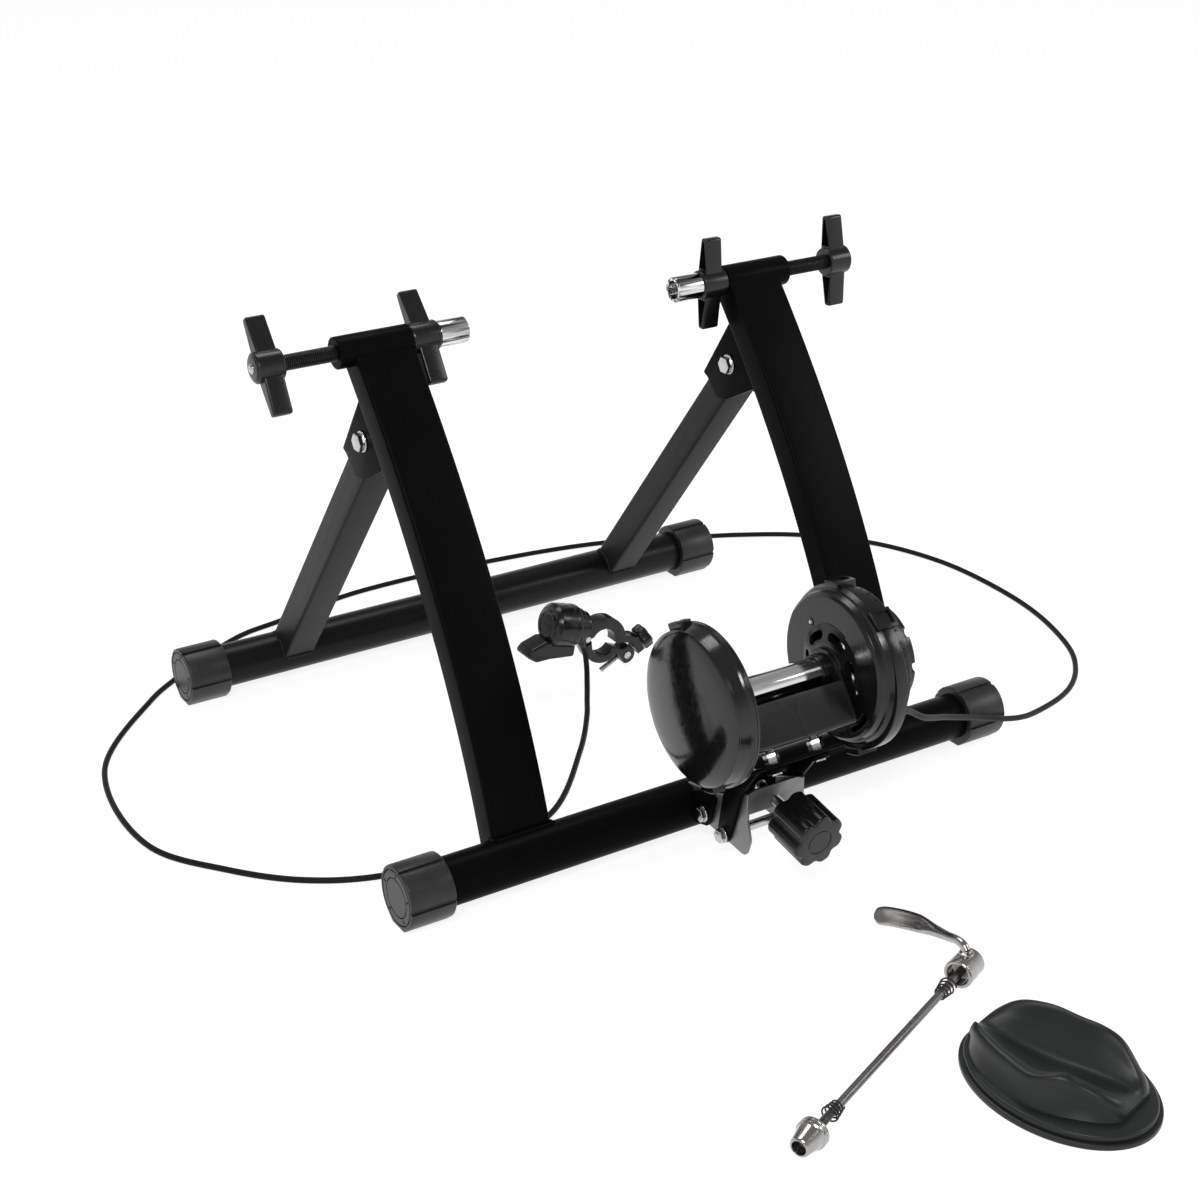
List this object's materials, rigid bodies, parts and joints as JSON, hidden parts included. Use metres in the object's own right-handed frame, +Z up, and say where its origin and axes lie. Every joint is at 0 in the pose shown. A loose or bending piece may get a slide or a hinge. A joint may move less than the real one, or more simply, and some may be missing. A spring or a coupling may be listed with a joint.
{
  "type": "bicycle turbo trainer stand",
  "caption": "Folding bicycle trainer stand with axle clamps, magnetic roller unit, cable shifter, loose axle skewer and front wheel riser block.",
  "frame": {"origin": "on the floor, under the middle of the outer box of everything but the cable", "axes": "+X runs to the right along the base tubes, with the magnet housing on the right; +Y points from the resistance unit to the rear base tube; +Z is up"},
  "size_m": [0.8881, 1.0159, 0.4055],
  "materials": {
    "frame_paint": "gloss black powder coat",
    "strut_paint": "semi-gloss dark grey powder coat",
    "foot_rubber": "matte moulded rubber",
    "handle_plastic": "satin black moulded plastic",
    "cover_plastic": "gloss dark grey moulded plastic",
    "housing_plastic": "satin black moulded plastic",
    "chrome": "polished chrome plate",
    "bolt_steel": "bright zinc-plated steel",
    "thread_steel": "blackened threaded steel",
    "bracket_zinc": "dull zinc-plated sheet steel",
    "flywheel_iron": "turned cast iron",
    "cable_rubber": "satin black cable jacket",
    "skewer_steel": "bright plated steel",
    "rod_steel": "drawn steel",
    "riser_plastic": "matte moulded plastic"
  },
  "bodies": {
    "stand": {"front_base_tube": "frame_paint", "front_left_foot": "foot_rubber", "front_right_foot": "foot_rubber", "left_upright": "frame_paint", "right_upright": "frame_paint", "left_pivot_bracket": "frame_paint", "right_pivot_bracket": "frame_paint", "left_pivot_bolt": "bolt_steel", "right_pivot_bolt": "bolt_steel", "zinc_bracket": "bracket_zinc", "bracket_cross_bolt": "bolt_steel", "unit_pivot_bolt": "bolt_steel", "shifter_body": "handle_plastic", "jaw_hinge_pin": "bolt_steel", "cable": "cable_rubber"},
    "rear_leg": {"rear_base_tube": "frame_paint", "rear_left_foot": "foot_rubber", "rear_right_foot": "foot_rubber", "left_strut": "strut_paint", "right_strut": "strut_paint"},
    "left_cup": {"left_axle_cup": "chrome"},
    "left_screw": {"left_clamp_screw": "thread_steel", "left_clamp_handle": "handle_plastic"},
    "left_lock": {"left_lock_knob": "handle_plastic"},
    "right_cup": {"right_axle_cup": "chrome"},
    "right_screw": {"right_clamp_screw": "thread_steel", "right_clamp_handle": "handle_plastic"},
    "right_lock": {"right_lock_knob": "handle_plastic"},
    "unit": {"roller_trough": "frame_paint", "left_stud": "bolt_steel", "right_stud": "bolt_steel", "swing_arm": "frame_paint", "left_bearing": "bolt_steel", "right_bearing": "bolt_steel", "flywheel_cover": "cover_plastic", "cover_back_plate": "housing_plastic", "magnet_front_shell": "housing_plastic", "magnet_rear_shell": "housing_plastic", "cable_gland": "cable_rubber"},
    "rotor": {"roller": "chrome", "flywheel": "flywheel_iron"},
    "dial": {"magnet_dial": "housing_plastic"},
    "pad": {"tension_pad": "bolt_steel"},
    "tension": {"tension_screw": "bolt_steel", "tension_knob": "handle_plastic"},
    "thumb_lever": {"shifter_lever": "handle_plastic"},
    "jaw": {"shifter_jaw": "handle_plastic", "cross_pin_front": "bolt_steel", "cross_pin_rear": "bolt_steel"},
    "thumb": {"thumb_screw": "bolt_steel", "thumb_knob": "handle_plastic"},
    "skewer": {"skewer_head": "skewer_steel", "skewer_rod": "rod_steel", "head_spring": "rod_steel", "nut_spring": "rod_steel"},
    "cam_lever": {"skewer_lever": "skewer_steel"},
    "nut": {"skewer_nut": "skewer_steel"},
    "riser": {"riser_block": "riser_plastic"}
  },
  "joints": [
    {"name": "leg_fold", "type": "hinge", "parent": "stand", "child": "rear_leg", "pos_m": [0, 0.21676, 0.2943], "axis": [-1, 0, 0], "range_deg": [0, 58]},
    {"name": "left_clamp_travel", "type": "slide", "parent": "stand", "child": "left_cup", "axis": [1, 0, 0], "range_m": [0, 0.0228]},
    {"name": "left_clamp_turn", "type": "hinge", "parent": "left_cup", "child": "left_screw", "pos_m": [-0.2, 0.21976, 0.367], "axis": [1, 0, 0], "range_deg": [0, 4700]},
    {"name": "left_lock_turn", "type": "hinge", "parent": "stand", "child": "left_lock", "pos_m": [-0.134, 0.21976, 0.367], "axis": [-1, 0, 0], "range_deg": [0, 60]},
    {"name": "right_clamp_travel", "type": "slide", "parent": "stand", "child": "right_cup", "axis": [-1, 0, 0], "range_m": [0, 0.0228]},
    {"name": "right_clamp_turn", "type": "hinge", "parent": "right_cup", "child": "right_screw", "pos_m": [0.2, 0.21976, 0.367], "axis": [-1, 0, 0], "range_deg": [0, 4700]},
    {"name": "right_lock_turn", "type": "hinge", "parent": "stand", "child": "right_lock", "pos_m": [0.134, 0.21976, 0.367], "axis": [1, 0, 0], "range_deg": [0, 60]},
    {"name": "unit_tilt", "type": "hinge", "parent": "stand", "child": "unit", "pos_m": [0, -0.04364, 0.0248], "axis": [-1, 0, 0], "range_deg": [-4.1, 6], "deforming": ["cable"]},
    {"name": "tension_travel", "type": "slide", "parent": "stand", "child": "pad", "axis": [0, 0.9857, 0.1685], "range_m": [-0.00265, 0.0039]},
    {"name": "tension_turn", "type": "hinge", "parent": "pad", "child": "tension", "pos_m": [0, -0.06749, 0.0585], "axis": [0, 0.9857, 0.1685], "range_deg": [-756, 1116]},
    {"name": "roller_spin", "type": "hinge", "parent": "unit", "child": "rotor", "pos_m": [0, -0.05824, 0.15], "axis": [1, 0, 0], "continuous": true},
    {"name": "dial_turn", "type": "hinge", "parent": "unit", "child": "dial", "pos_m": [0.101, -0.05824, 0.15], "axis": [1, 0, 0], "range_deg": [0, 21.1]},
    {"name": "thumb_lever_turn", "type": "hinge", "parent": "stand", "child": "thumb_lever", "pos_m": [0.045, 0.28206, 0.05152], "axis": [0.9573, 0, -0.289], "range_deg": [0, 60]},
    {"name": "jaw_swing", "type": "hinge", "parent": "stand", "child": "jaw", "pos_m": [0.0446, 0.28206, 0.04242], "axis": [0, 1, 0], "range_deg": [0, 3.8]},
    {"name": "thumb_turn", "type": "hinge", "parent": "stand", "child": "thumb", "pos_m": [0.088, 0.28206, 0.01442], "axis": [0.8949, 0, 0.4462], "range_deg": [0, 1080]},
    {"name": "skewer_lift", "type": "slide", "parent": "stand", "child": "skewer", "axis": [0, 0, 1], "range_m": [0, 0.05]},
    {"name": "cam_lever_swing", "type": "hinge", "parent": "skewer", "child": "cam_lever", "pos_m": [0.02389, -0.26073, 0.0107], "axis": [0, 0, 1], "range_deg": [-60, 60]},
    {"name": "nut_turn", "type": "hinge", "parent": "skewer", "child": "nut", "pos_m": [0.0326, -0.25694, 0.0107], "axis": [-0.9171, -0.3987, 0], "range_deg": [-180, 180]},
    {"name": "riser_lift", "type": "slide", "parent": "stand", "child": "riser", "axis": [0, 0, 1], "range_m": [0, 0.05]}
  ],
  "couplings": [
    {"joint": "left_clamp_turn", "follows": "left_clamp_travel", "rad_per_m": 3590.4},
    {"joint": "right_clamp_turn", "follows": "right_clamp_travel", "rad_per_m": 3590.4},
    {"joint": "tension_travel", "follows": "tension_turn", "m_per_rad": 0.00019894},
    {"joint": "unit_tilt", "follows": "tension_turn", "ratio": 0.005348},
    {"joint": "dial_turn", "follows": "thumb_lever_turn", "ratio": 0.35},
    {"joint": "jaw_swing", "follows": "thumb_turn", "ratio": 0.003475}
  ]
}
